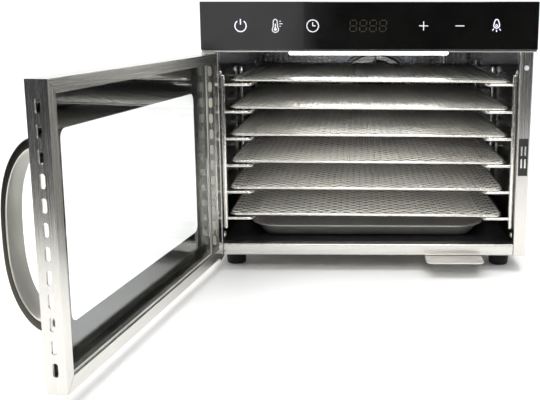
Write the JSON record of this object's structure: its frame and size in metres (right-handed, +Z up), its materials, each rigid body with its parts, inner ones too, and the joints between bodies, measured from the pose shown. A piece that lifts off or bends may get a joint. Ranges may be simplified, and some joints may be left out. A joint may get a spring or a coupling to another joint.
{
  "type": "food dehydrator",
  "caption": "Bench-top steel food dehydrator with a side-hung glass door, sliding wire trays, a drip tray, a rear fan and heater, and a touch control head.",
  "frame": {"origin": "on the floor, at the middle of the box round the whole part with its door standing open", "axes": "+X to the right as one faces the opening, +Y from the door side to the back, +Z up"},
  "size_m": [0.4222, 0.7472, 0.2876],
  "materials": {
    "brushed_steel": "brushed, satin",
    "liner_steel": "dark, polished",
    "black_enamel": "semi-gloss enamel",
    "bright_wire": "bright drawn steel wire",
    "black_plastic": "fine matt texture",
    "foot_rubber": "matt",
    "seal_rubber": "white silicone",
    "black_glass": "gloss, printed black from behind",
    "door_glass": "clear, with a black printed border",
    "heater_sheath": "oxidised sheath",
    "motor_casing": "zinc plated",
    "fan_aluminium": "stamped, satin",
    "circuit_board": "solder mask",
    "white_plastic": "opal"
  },
  "bodies": {
    "cabinet": {"base_plate": "brushed_steel", "top_cover": "brushed_steel", "side_panel_left": "brushed_steel", "side_panel_right": "brushed_steel", "rear_cover": "brushed_steel", "power_inlet": "black_plastic", "front_post_left": "brushed_steel", "front_post_right": "brushed_steel", "front_rail": "brushed_steel", "front_header": "brushed_steel", "liner_left": "liner_steel", "liner_right": "liner_steel", "liner_floor": "black_enamel", "liner_roof": "liner_steel", "rear_baffle": "liner_steel", "rear_liner": "brushed_steel", "heater_element": "heater_sheath", "fan_guard": "bright_wire", "fan_motor": "motor_casing", "temperature_probe": "bright_wire", "thermal_cutout": "black_plastic", "control_glass": "black_glass", "head_housing": "black_plastic", "control_board": "circuit_board", "display_module": "black_plastic", "power_board": "circuit_board", "lamp_lens": "white_plastic", "lamp_board": "white_plastic", "rack_left": "bright_wire", "rack_right": "bright_wire", "foot_front_left": "foot_rubber", "foot_front_right": "foot_rubber", "foot_rear_left": "foot_rubber", "foot_rear_right": "foot_rubber", "magnet_catch": "black_plastic", "door_bumper": "white_plastic", "door_rest_tab": "brushed_steel", "hinge_bracket_upper": "brushed_steel", "hinge_bracket_lower": "brushed_steel", "hinge_pin_upper": "bright_wire", "hinge_pin_lower": "bright_wire"},
    "door": {"door_hinge_stile": "brushed_steel", "door_free_stile": "brushed_steel", "door_top_rail": "brushed_steel", "door_bottom_rail": "brushed_steel", "door_glass": "door_glass", "door_gasket": "seal_rubber", "door_handle": "brushed_steel", "handle_screw_lower": "bright_wire", "handle_screw_upper": "bright_wire"},
    "fan": {"fan_blade": "fan_aluminium", "fan_shaft": "bright_wire"},
    "drip_tray_body": {"drip_tray": "brushed_steel"},
    "tray_1_body": {"tray_1": "bright_wire"},
    "tray_2_body": {"tray_2": "bright_wire"},
    "tray_3_body": {"tray_3": "bright_wire"},
    "tray_4_body": {"tray_4": "bright_wire"},
    "tray_5_body": {"tray_5": "bright_wire"},
    "tray_6_body": {"tray_6": "bright_wire"}
  },
  "joints": [
    {"name": "door_hinge", "type": "hinge", "parent": "cabinet", "child": "door", "pos_m": [-0.12539, -0.04049, 0.126], "axis": [0, 0, -1], "range_deg": [-99, 81]},
    {"name": "tray_1_slide", "type": "slide", "parent": "cabinet", "child": "tray_1_body", "axis": [0, -1, 0], "range_m": [0, 0.3]},
    {"name": "tray_2_slide", "type": "slide", "parent": "cabinet", "child": "tray_2_body", "axis": [0, -1, 0], "range_m": [0, 0.3]},
    {"name": "tray_3_slide", "type": "slide", "parent": "cabinet", "child": "tray_3_body", "axis": [0, -1, 0], "range_m": [0, 0.3]},
    {"name": "tray_4_slide", "type": "slide", "parent": "cabinet", "child": "tray_4_body", "axis": [0, -1, 0], "range_m": [0, 0.3]},
    {"name": "tray_5_slide", "type": "slide", "parent": "cabinet", "child": "tray_5_body", "axis": [0, -1, 0], "range_m": [0, 0.3]},
    {"name": "tray_6_slide", "type": "slide", "parent": "cabinet", "child": "tray_6_body", "axis": [0, -1, 0], "range_m": [0, 0.3]},
    {"name": "drip_tray_slide", "type": "slide", "parent": "cabinet", "child": "drip_tray_body", "axis": [0, -1, 0], "range_m": [0, 0.3]},
    {"name": "fan_spin", "type": "hinge", "parent": "cabinet", "child": "fan", "pos_m": [0.05411, 0.30131, 0.16445], "axis": [0, 1, 0], "continuous": true}
  ]
}
